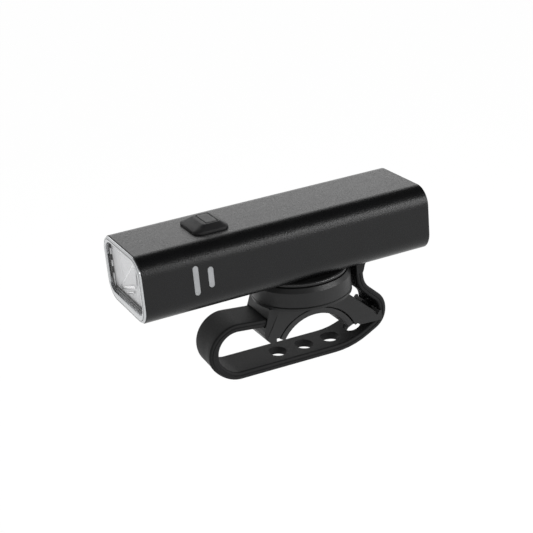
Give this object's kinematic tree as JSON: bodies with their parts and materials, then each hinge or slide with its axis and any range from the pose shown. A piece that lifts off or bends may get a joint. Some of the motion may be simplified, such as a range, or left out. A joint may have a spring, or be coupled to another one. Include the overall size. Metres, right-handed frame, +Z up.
{
  "type": "bike headlight",
  "caption": "Rectangular bicycle headlight with a front lens, side light windows and a top button, on a swivelling saddle mount that a hooked rubber strap ties to the handlebar.",
  "frame": {"origin": "middle of the handlebar that the saddle sits on", "axes": "+X along the handlebar, +Y to the rear of the lamp (the beam goes along -Y), +Z up"},
  "size_m": [0.0402, 0.1208, 0.0665],
  "materials": {
    "housing": "fine matte black anodised",
    "lens": "clear moulded window",
    "seal_rubber": "soft black seal",
    "reflector": "bright metallised",
    "board": "green circuit board",
    "led": "yellow phosphor",
    "bare_aluminium": "plain",
    "light_guide": "translucent pale grey",
    "button_rubber": "matte",
    "button_key": "matte",
    "switch": "matte",
    "components": "matte",
    "steel": "plain",
    "cell": "blue shrink wrap",
    "cradle": "matte",
    "ribbon": "amber film",
    "lead_red": "insulated wire",
    "mount_plastic": "fine matte black",
    "cover_rubber": "matte",
    "pad_rubber": "matte",
    "strap_rubber": "smooth matte"
  },
  "bodies": {
    "bracket": {"saddle_bracket": "mount_plastic", "saddle_pad": "pad_rubber", "strap_pin": "steel", "strap_loop": "strap_rubber", "pivot_screw": "steel", "pivot_washer": "steel", "pivot_nut": "steel"},
    "strap_end": {"strap_tail": "strap_rubber"},
    "collar": {"swivel_ring": "mount_plastic"},
    "button": {"button_cap": "button_key", "switch_plunger": "switch"},
    "socket_cover": {"usb_cover": "cover_rubber"},
    "lamp": {"lamp_housing": "housing", "front_lens": "lens", "lens_gasket": "seal_rubber", "reflector": "reflector", "led_board": "board", "led_emitters": "led", "heat_sink": "bare_aluminium", "side_light_guide_left": "light_guide", "side_light_guide_right": "light_guide", "side_led_boards": "board", "side_leds": "led", "button_boot": "button_rubber", "tact_switch": "switch", "control_board": "board", "driver_parts": "components", "board_screws": "steel", "battery_cell_left": "cell", "battery_cell_right": "cell", "cell_tabs": "steel", "battery_cradle": "cradle", "charge_board": "board", "usb_port": "steel", "charge_ribbon": "ribbon", "battery_leads": "lead_red", "led_leads": "lead_red", "rear_cap": "mount_plastic", "rear_seal": "seal_rubber", "rear_cap_screws": "steel", "cover_tether": "cover_rubber", "lamp_foot": "mount_plastic", "foot_screws": "steel", "foot_nut_plate": "steel"}
  },
  "joints": [
    {"name": "strap_peel", "type": "hinge", "parent": "bracket", "child": "strap_end", "pos_m": [0, 0.02745, 0.00145], "axis": [-1, 0, 0], "range_deg": [0, 100], "stiffness_Nm_per_rad": 0.02},
    {"name": "collar_swivel", "type": "hinge", "parent": "bracket", "child": "collar", "pos_m": [0, 0, 0.02416], "axis": [0, 0, 1], "range_deg": [-20, 20]},
    {"name": "lamp_release", "type": "hinge", "parent": "collar", "child": "lamp", "pos_m": [0, 0, 0.02416], "axis": [0, 0, 1], "range_deg": [0, 90]},
    {"name": "button_press", "type": "slide", "parent": "lamp", "child": "button", "axis": [0, 0, -1], "range_m": [0, 0.0005], "stiffness_N_per_m": 1500},
    {"name": "cover_swing", "type": "hinge", "parent": "lamp", "child": "socket_cover", "pos_m": [0, 0.04813, 0.04225], "axis": [-1, 0, 0], "range_deg": [0, 150]}
  ]
}
